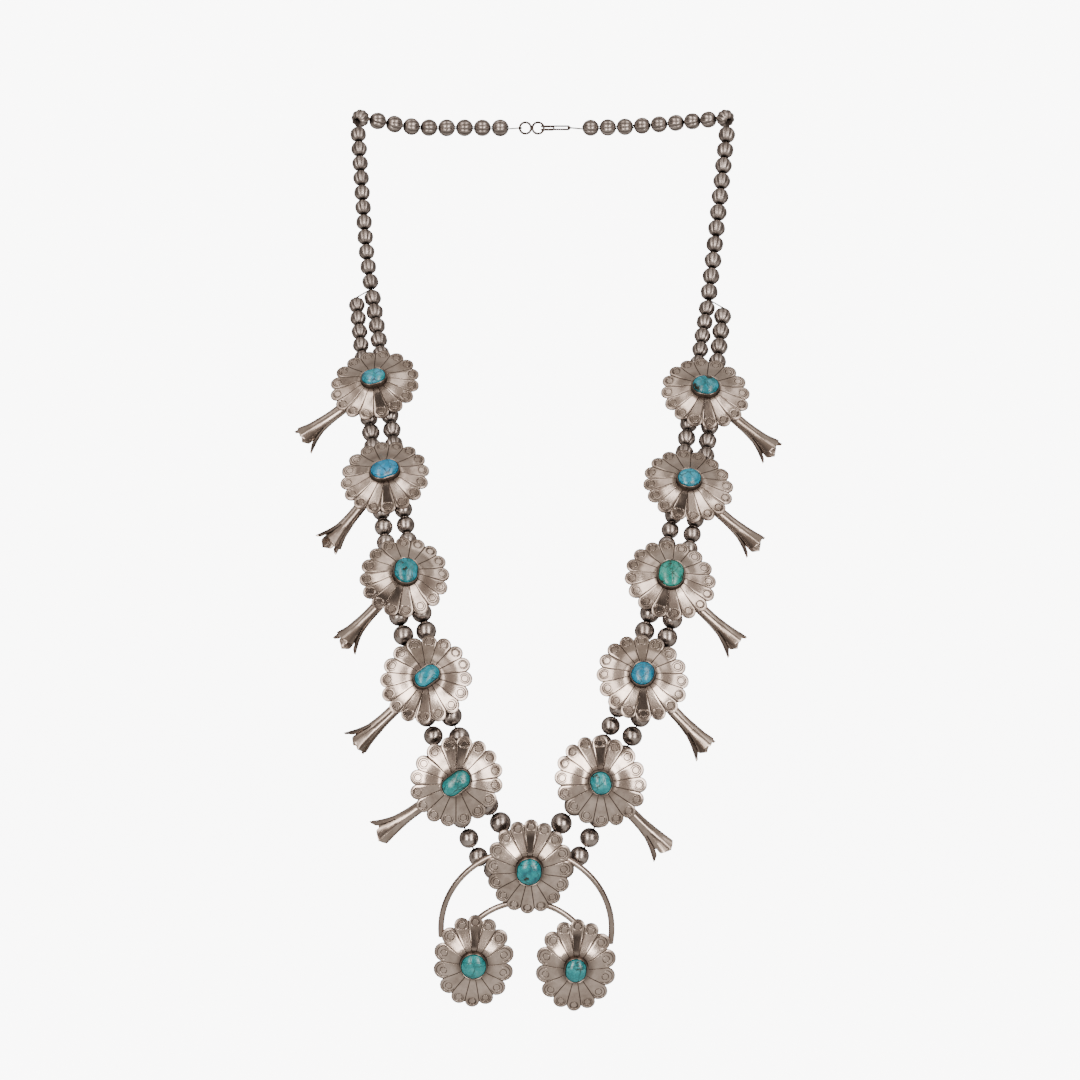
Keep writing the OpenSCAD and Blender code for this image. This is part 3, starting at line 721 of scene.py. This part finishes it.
strings = {
    "beadSize": 6.1,
    "lowBeadSize": 7.0,
    "growth": (0, 0.1, 0.4, 0.7, 1, 1),  # from beadSize to lowBeadSize, run by run
    "stretch": 1.06,
    "gap": 0.9,
    "seatGap": 0.4,
    "bendRoom": 0.45,
    "bore": 1.6,
    "forks": ((-62.9, -46.2, -63.2), (60.1, -47.6, -67.1)),
    "outerStarts": ((-68.4, -48, -66.4), (65.6, -49.4, -70.2)),
}
pendant = {
    "frame": ((-5, 141, -267), -18, 0, -2.5),  # place, tilt, turn and roll
    "length": 35.6,
    "widths": (29.6, 27.4, 27.4),
    "petals": (16, 14, 14),
    "lowAcross": 17.7,
    "drop": 36,
    "wire": 1.9,
    "wireSeen": 2.1,  # the picture's bright ground eats into thin edges
    "wirePatina": 0.3,
    "sunk": 0.05,
    "outerArch": (29.5, -23.5, -8, 188),  # radius, height of its middle, from and to angle
    "innerArch": (23.5, -37, 25, 155),
    "archRings": 72,
    "holeRise": 0.5,
    "stones": ((9.4, 8.2, 85), (8.8, 8.4, 90), (8.4, 7, 85)),
}
lugs = {"thickness": 1.2, "rim": 0.8, "foot": 6.0, "around": 20, "patina": 0.5}


def beadSize(k):
    return (strings["beadSize"]
            + (strings["lowBeadSize"] - strings["beadSize"]) * strings["growth"][k])


def stringDepth(k):
    return (beadSize(k) * strings["stretch"] / 2 + strings["seatGap"]
            + (strings["bendRoom"] if k == 1 else 0))


def blossomFrame(side, k):
    row = blossoms[side][k - 1]
    return plateFrame(row[:3], row[4], row[5])


def pendantFrame():
    return plateFrame(*pendant["frame"])


def archHeight():
    return plates["sheet"] - pendant["sunk"] - pendant["wire"] / 2


def pendantDepth():
    return (pendant["wire"] / 2 - archHeight() + strings["seatGap"]
            + strings["lowBeadSize"] * strings["stretch"] / 2)


def stringMiddle(side, k):
    # the middle between both strings: where they fork, behind a blossom or the pendant
    if k == 0:
        return (np.array(strings["forks"][side]) + np.array(strings["outerStarts"][side])) / 2
    if k not in pairs:
        axes, middle = pendantFrame()
        return middle - axes[:, 2] * pendantDepth() + axes[:, 1] * pendant["holeRise"]
    axes, middle = blossomFrame(side, k)
    return middle - axes[:, 0] * blossoms[side][k - 1][3] - axes[:, 2] * stringDepth(k)


def stringAngle(side, k, axes):
    way = stringMiddle(side, k + 1) - stringMiddle(side, k - 1)
    return math.degrees(math.atan2(way @ axes[:, 1], way @ axes[:, 0]))


def drilledLug(spacing, depth):
    # a flat plate across the strings with a hole for each, cut from its outline
    rise, bore = plates["rise"] + plates["sheet"] / 2, strings["bore"] / 2
    quarter = np.radians(np.linspace(0, 90, 7))
    low = bore + lugs["rim"]
    right = np.stack([spacing / 2 + low * np.sin(quarter), -depth - low * np.cos(quarter)],
                     axis=1)
    outline = np.concatenate([right, [[lugs["foot"] / 2, rise], [-lugs["foot"] / 2, rise]],
                              (right * [-1, 1])[::-1]])
    hole = onCircle(fullTurn(lugs["around"])) * bore
    loops = [outline, hole + [spacing / 2, -depth], hole + [-spacing / 2, -depth]]
    flat = np.concatenate(loops)
    count = len(flat)
    triangles = np.array(tessellate_polygon(
        [[(p[0], p[1], 0.0) for p in loop] for loop in loops]))
    walls, first = [], 0
    for loop in loops:
        ring = np.arange(len(loop)) + first
        after = np.roll(ring, -1)
        walls.append(np.stack([ring, after, after + count, ring + count], axis=1))
        first += len(loop)
    half = np.full(count, lugs["thickness"] / 2)
    points = np.concatenate([
        np.stack([x, flat[:, 0], flat[:, 1]], axis=1) for x in (half, -half)])
    blocks = [triangles, triangles[:, ::-1] + count, np.concatenate(walls)]
    return points, blocks, lugs["patina"]


def blossomPiece(side, k):
    *_, shift, _, _, trumpetAngle, length, width, angle = blossoms[side][k - 1]
    rng = np.random.default_rng(100 * side + k)
    axes, middle = blossomFrame(side, k)
    points, blocks, patina, info = plateShell(plates["length"], plates["width"],
                                              plates["petals"], rng)
    spacing = beadSize(k) * strings["stretch"] + strings["gap"]
    lug = drilledLug(spacing, stringDepth(k))
    shells = [(turned(points, trumpetAngle), blocks, patina), bezelShell(length, width, angle),
              (turned(lug[0], stringAngle(side, k, axes)) - [shift, 0, 0],) + lug[1:]]
    rootHeight = ((plates["length"] / 2 - trumpets["root"])
                  * math.sin(math.radians(trumpets["dip"]))
                  + trumpets["sink"] - trumpets["tube"] / 2)
    tip = math.radians(90 + trumpets["dip"])
    lean = np.array([[math.cos(tip), 0, math.sin(tip)], [0, 1, 0],
                     [-math.sin(tip), 0, math.cos(tip)]])
    # where the viewer is, in the trumpet's own cross-section
    across = turned(np.array([[0.0, 1, 0]]), trumpetAngle) @ axes.T
    facing = math.degrees(math.atan2(-across[0, 1], axes[1, 2]))
    for shell in trumpetShells(facing + trumpets["fronts"][side][k - 1],
                               trumpets["claws"][side][k - 1], rng):
        placed = shell[0] @ lean.T + [trumpets["root"], 0, rootHeight]
        shells.append((turned(placed, trumpetAngle),) + shell[1:])
    world = [(toWorld(shell[0], axes, middle),) + shell[1:] for shell in shells]
    piece = makePiece("blossom_silver_" + sideNames[side] + str(k), world, silverSheet,
                      "blossom_" + sideNames[side] + "_" + str(k))
    addPetalMap(piece, [(0, 0, info)])


for side in (0, 1):
    for k in pairs:
        blossomPiece(side, k)
print("blossoms made")


def archShell(radius, height, start, end):
    # A round wire bent to an arc that lies in the plates' plane. Its back stays and
    # its front sinks by as much as it is drawn thicker.
    angles = np.radians(np.linspace(start, end, pendant["archRings"]))
    depth = archHeight() - (pendant["wireSeen"] - pendant["wire"]) / 2
    path = np.stack([radius * np.cos(angles), height + radius * np.sin(angles),
                     np.full(len(angles), depth)], axis=1)
    along = unitRows(np.gradient(path, axis=0))
    side = unitRows(np.cross(along, np.array([0.0, 0.0, 1.0])))
    turns = fullTurn(lugs["around"])
    grid = path[:, None] + pendant["wireSeen"] / 2 * (
        side[:, None] * np.cos(turns)[None, :, None]
        + np.cross(along, side)[:, None] * np.sin(turns)[None, :, None])
    return grid.reshape(-1, 3), cappedFaces(grid), pendant["wirePatina"]


flowerPlaces = ((0, 0), (-pendant["lowAcross"], -pendant["drop"]),
                (pendant["lowAcross"], -pendant["drop"]))


def pendantPiece():
    rng = np.random.default_rng(31)
    shells, maps, pointCount, faceCount = [], [], 0, 0
    for (across, up), width, petals in zip(flowerPlaces, pendant["widths"], pendant["petals"]):
        points, blocks, patina, info = plateShell(pendant["length"], width, petals, rng)
        maps.append((pointCount, faceCount, info))
        shells.append((turned(points, 90) + [across, up, 0], blocks, patina))
        pointCount += len(points)
        faceCount += len(blocks[0])
    for (across, up), stone in zip(flowerPlaces, pendant["stones"]):
        bezel = bezelShell(*stone)
        shells.append((bezel[0] + [across, up, 0],) + bezel[1:])
    shells += [archShell(*pendant[arch]) for arch in ("outerArch", "innerArch")]
    spacing = strings["lowBeadSize"] * strings["stretch"] + 2 * strings["gap"]
    lug = drilledLug(spacing, pendantDepth())
    shells.append((lug[0] + [0, pendant["holeRise"], 0],) + lug[1:])
    world = [(toWorld(shell[0], *pendantFrame()),) + shell[1:] for shell in shells]
    addPetalMap(makePiece("pendant_silver", world, silverSheet, "naja"), maps)


pendantPiece()
print("pendant made")

# Codes are deeper than the stones look, because the picture's film curve pales them.
# Deep, main and light tone, and the level at which blotches of matrix begin.
stoneLooks = {
    "left_1": ("#0c8a8c", "#2a9fb8", "#58a8d8", 0.7),
    "left_2": ("#056a8c", "#0a8fc0", "#3aa4dc", 0.66),
    "left_3": ("#075f68", "#10909f", "#35aed0", 0.58),
    "left_4": ("#046d80", "#0598b0", "#2cabc4", 0.62),
    "left_5": ("#086064", "#0e8f92", "#3aaab0", 0.6),
    "right_1": ("#0a5a62", "#178a9c", "#35aed0", 0.55),
    "right_2": ("#0c7c9c", "#1c9fbe", "#4ab2cc", 0.68),
    "right_3": ("#0c655c", "#169c90", "#48b0a4", 0.57),
    "right_4": ("#065a7c", "#0c8cb4", "#3caccc", 0.57),
    "right_5": ("#0c7480", "#22a2ac", "#54b8bc", 0.64),
    "top": ("#074e64", "#0c949e", "#30acb2", 0.6),
    "pendant_left": ("#0e6c70", "#1e979c", "#50b0b4", 0.66),
    "pendant_right": ("#0c6a70", "#1a959e", "#44acb4", 0.6),
}


def stonePiece(label, axes, middle, size, place, node, seed):
    rng = np.random.default_rng(seed)
    points, blocks, patina = stoneShell(*size, rng)
    *tones, matrixFrom = stoneLooks[label]
    material = stoneMaterial("Turquoise_" + label, tones, matrixFrom, rng.uniform(-1, 1, 3))
    points = toWorld(points + [*place, 0], axes, middle)
    makePiece("cabochon_" + label, [(points, blocks, patina)], material, node,
              sharpAngle=60)


for side in (0, 1):
    for k in pairs:
        label = sideNames[side] + "_" + str(k)
        stonePiece(label, *blossomFrame(side, k), blossoms[side][k - 1][7:10], (0, 0),
                   "stone_" + label, 500 + 10 * side + k)
for flower, label in enumerate(("top", "pendant_left", "pendant_right")):
    stonePiece(label, *pendantFrame(), pendant["stones"][flower], flowerPlaces[flower],
               "naja_stone_" + label.split("_")[-1], 600 + flower)
print("stones made")


# String beads

beads = {
    "flutes": 10,
    "fluteDepth": 0.085,
    "flutedAbove": -125.0,  # beads above this height are fluted
    "columnsPerFlute": 6,
    "around": 40,
    "rings": 14,
    "boreShare": 0.62,  # triangles nearer to the middle than this are a bore's walls
    "wallShare": 0.985,
    "patina": {"least": 0.1, "atHole": 0.9, "reach": 0.3, "inFlute": 0.8},
}


def beadsOf(node):
    # Each loose solid of a beads node is a sphere with a bore. Points that share a
    # triangle share the least label, the sphere comes from least squares, and the
    # string's direction is the one that the walls of the bore are all square to.
    mesh = nodes[node].data
    points = np.empty(len(mesh.vertices) * 3)
    mesh.vertices.foreach_get("co", points)
    points = points.reshape(-1, 3) / millimetre
    mesh.calc_loop_triangles()
    triangles = np.empty(len(mesh.loop_triangles) * 3, np.int64)
    mesh.loop_triangles.foreach_get("vertices", triangles)
    unique, back = np.unique(np.round(points, 4), axis=0, return_inverse=True)
    triangles = back.ravel()[triangles].reshape(-1, 3)
    label = np.arange(len(unique))
    while True:
        least = label[triangles].min(axis=1)
        fresh = label.copy()
        for corner in range(3):
            np.minimum.at(fresh, triangles[:, corner], least)
        if (fresh == label).all():
            break
        label = fresh
    found = []
    for one in np.unique(label):
        own = unique[label == one]
        fit = np.linalg.lstsq(np.c_[2 * own, np.ones(len(own))], (own ** 2).sum(1),
                              rcond=None)[0]
        middle = fit[:3]
        radius = math.sqrt(fit[3] + middle @ middle)
        corners = unique[triangles[label[triangles[:, 0]] == one]]
        apart = np.linalg.norm(corners.mean(1) - middle, axis=1)
        walls = corners[apart < beads["boreShare"] * radius]
        square = np.cross(walls[:, 1] - walls[:, 0], walls[:, 2] - walls[:, 0])
        axis = np.linalg.eigh(square.T @ square)[1][:, 0]
        found.append((middle, radius, axis * (-1 if axis[2] > 0 else 1)))
    found.sort(key=lambda bead: -bead[0][2])
    return found


def beadShell(middle, radius, axis, rng):
    # A sphere around its bore: rings from hole to hole, and flutes that sink between
    # the lobes, deepest at the waist. The last ring comes back through the bore.
    fluted = middle[2] > beads["flutedAbove"]
    around = beads["flutes"] * beads["columnsPerFlute"] if fluted else beads["around"]
    start = math.asin(strings["bore"] / 2 / radius)
    polar = np.linspace(start, math.pi - start, beads["rings"])
    angles = fullTurn(around)
    spin = rng.uniform(0, 2 * math.pi)
    size = np.full((len(polar), around), radius)
    tone = beads["patina"]
    fromHoles = sum(np.exp(-(way[:, None] / tone["reach"]) ** 2)
                    for way in (polar - start, math.pi - start - polar))
    patina = np.repeat(tone["least"] + tone["atHole"] * fromHoles, around, axis=1)
    if fluted:
        waist = np.sin(polar)[:, None] ** 1.2
        groove = np.abs(np.sin(angles * beads["flutes"] / 2))[None]
        size = size * (1 - beads["fluteDepth"] * groove ** 3 * waist)
        patina = np.maximum(patina, tone["inFlute"] * groove ** 6 * waist)
    grid = roundGrid(size * np.sin(polar)[:, None], angles, size * np.cos(polar)[:, None])
    wall = grid[[-1, 0]].copy()
    wall[..., :2] *= beads["wallShare"]
    grid = np.concatenate([grid, wall])
    patina = np.concatenate([np.clip(patina, 0, 1), np.ones((2, around))])
    helper = np.array([0.0, 1, 0]) if abs(axis[1]) < 0.9 else np.array([1.0, 0, 0])
    first = np.cross(helper, axis)
    first /= np.linalg.norm(first)
    second = np.cross(axis, first)
    turn = np.stack([first * math.cos(spin) + second * math.sin(spin),
                     second * math.cos(spin) - first * math.sin(spin), axis], axis=1)
    points = grid.reshape(-1, 3) @ turn.T + middle
    return points, [gridFaces(len(grid), around, True, True)], patina.ravel()


for part in ("single", "inner", "outer"):
    for sideName in sideNames:
        node = "beads_" + part + "_" + sideName
        rng = np.random.default_rng(len(node) * 7 + ord(part[0]))
        shells = [beadShell(*bead, rng) for bead in beadsOf(node)]
        makePiece("silver_" + node, shells, silverBeads, node, sharpAngle=50)
        print(node, len(shells))

# The thin wires, each a little thicker than in the part, because the picture's bright
# ground eats into them: piece, node, slot and what is added all round.
thinWires = (("string_inner", "wire_inner", "string_wire", 0.05),
             ("string_outer", "wire_outer", "string_wire", 0.05),
             ("silver_clasp_eye", "clasp_eye", "silver_beads", 0.1),
             ("silver_clasp_hook", "clasp_hook", "silver_beads", 0.1))


def wirePiece(name, node, slot, extra):
    mesh = bpy.data.meshes.new(name)
    turnOutwards(mesh, nodes[node].data, weld=True)
    points, normals = (np.empty(len(mesh.vertices) * 3) for _ in range(2))
    mesh.vertices.foreach_get("co", points)
    mesh.vertex_normals.foreach_get("vector", normals)
    mesh.vertices.foreach_set("co", points + normals * extra * millimetre)
    placePiece(name, mesh, silverWire, node, sharpAngle=75)


for thinWire in thinWires:
    wirePiece(*thinWire)
print("beads, strings and clasp made")


# Studio

studio = {
    "cameraDistance": 1600.0,
    "cameraMiddle": (-1.3, -70.0, -154.8),
    "frameWidth": 388.8,  # what the picture spans at the camera's distance
    "sensorWidth": 36.0,
    "lightsAimAt": (0, -80.0, -170.0),
}
backdrop = {
    "floor": -352.0,
    "wall": 2600.0,  # farther away than a camera that looks at the back
    "bend": 400.0,
    "reach": 2600.0,
    "aside": 3200.0,
    "tone": "#f2f1ef",
    "light": 8.5,
}


def backdropPiece():
    # White paper that is lit by itself, a floor that curves up into a wall: a profile
    # carried sideways. It doesn't light the silver.
    floor, wall, radius = backdrop["floor"], backdrop["wall"], backdrop["bend"]
    turns = np.radians(np.linspace(0, 90, 13))
    bend = np.stack([wall - radius + radius * np.sin(turns),
                     floor + radius * (1 - np.cos(turns))], axis=1)
    profile = np.concatenate([[(-backdrop["reach"], floor)], bend, [(wall, backdrop["reach"])]])
    points = np.concatenate([np.concatenate([np.full((len(profile), 1), x), profile], axis=1)
                             for x in (-backdrop["aside"], backdrop["aside"])])
    material, tree, surface = newMaterial("PaperBackdrop")
    setInputs(tree, surface, {
        "Base Color": linearColour(backdrop["tone"]), "Roughness": 0.9,
        "Emission Color": linearColour("#ffffff"), "Emission Strength": backdrop["light"]})
    mesh = bpy.data.meshes.new("backdrop")
    mesh.from_pydata((points * millimetre).tolist(), [], gridFaces(2, len(profile)).tolist())
    mesh.shade_smooth()
    mesh.materials.append(material)
    paper = addObject("backdrop", mesh)
    paper.visible_glossy = False
    paper.visible_diffuse = False


backdropPiece()

# Softboxes stand in an arc at each side, from the camera's height to nearly overhead.
# Every plate and bead shows a bright left and right and a darker middle.
softboxes = {"distance": 1500.0, "angles": (-24, 27), "tints": ("#fff1e8", "#fff3ec"),
             "size": (0.38, 0.95), "heights": (0, 38, 76), "powers": (9.5, 4.5, 1.2)}


def addSoftbox(name, sideways, height, power, tint):
    sideways, lift = math.radians(sideways), math.radians(height)
    light = bpy.data.lights.new(name, "AREA")
    light.shape = "RECTANGLE"
    light.size, light.size_y = softboxes["size"]
    light.energy = power
    light.color = linearColour(tint)[:3]
    holder = addObject(name, light)
    way = softboxes["distance"] * millimetre * np.array([
        math.sin(sideways), -math.cos(sideways) * math.cos(lift),
        math.cos(sideways) * math.sin(lift)])
    holder.location = np.array(studio["lightsAimAt"]) * millimetre + way
    holder.rotation_euler = Vector(-way).to_track_quat("-Z", "Y").to_euler()


for sideways, tint in zip(softboxes["angles"], softboxes["tints"]):
    for height, power in zip(softboxes["heights"], softboxes["powers"]):
        addSoftbox("softbox" + str(sideways) + "_" + str(height), sideways, height, power, tint)

# The room: warm grey walls at the left and right, which fade towards the sides, and a
# dark strip over the middle, where the photographer's end of the room is. The floor
# hasn't the strip, the ceiling is light only over the middle, and the room gets darker
# towards the back, which outlines the beads. Each row is the way along which the room
# changes, from where to where, and the way along which its new tones run.
room = {
    "floor": "#d6ccc4",
    "changes": (
        ("Z", (-0.45, -0.2), "aside", (
            (0.0, "#463f3b"), (0.07, "#4c4541"), (0.17, "#dccec4"), (0.6, "#d2c4ba"),
            (0.8, "#8d8178"), (1.0, "#5c5450"))),
        ("Z", (0.76, 0.86), "aside", (
            (0.0, "#b0a59b"), (0.36, "#b5a99f"), (0.46, "#857a72"), (1.0, "#5c5450"))),
        ("Y", (-0.15, 0.2), "Y", ((0.1, "#cbc1b9"), (0.45, "#a59b94"), (0.8, "#5e5651"))),
    ),
}
world = bpy.data.worlds.new("studioRoom")
bpy.context.scene.world = world
world.use_nodes = True
roomTree = world.node_tree
direction = addNode(roomTree, "ShaderNodeTexCoord").outputs["Generated"]
ways = dict(addNode(roomTree, "ShaderNodeSeparateXYZ", {0: direction}).outputs.items())
ways["aside"] = maths(roomTree, "ABSOLUTE", ways["X"])
walls = linearColour(room["floor"])
for changeAlong, edge, tonesAlong, tones in room["changes"]:
    walls = mixed(roomTree, ranged(roomTree, ways[changeAlong], *edge), walls,
                  toneRamp(roomTree, ways[tonesAlong], tones))
setInputs(roomTree, roomTree.nodes["Background"], {"Color": walls, "Strength": 1.0})

cameraData = bpy.data.cameras.new("camera")
cameraData.sensor_width = studio["sensorWidth"]
cameraData.lens = studio["sensorWidth"] * studio["cameraDistance"] / studio["frameWidth"]
cameraData.clip_end = 20
camera = addObject("camera", cameraData)
place = np.array(studio["cameraMiddle"]) - [0, studio["cameraDistance"], 0]
camera.location = place * millimetre
camera.rotation_euler = (math.radians(90), 0, 0)
bpy.context.scene.camera = camera
print("studio made")
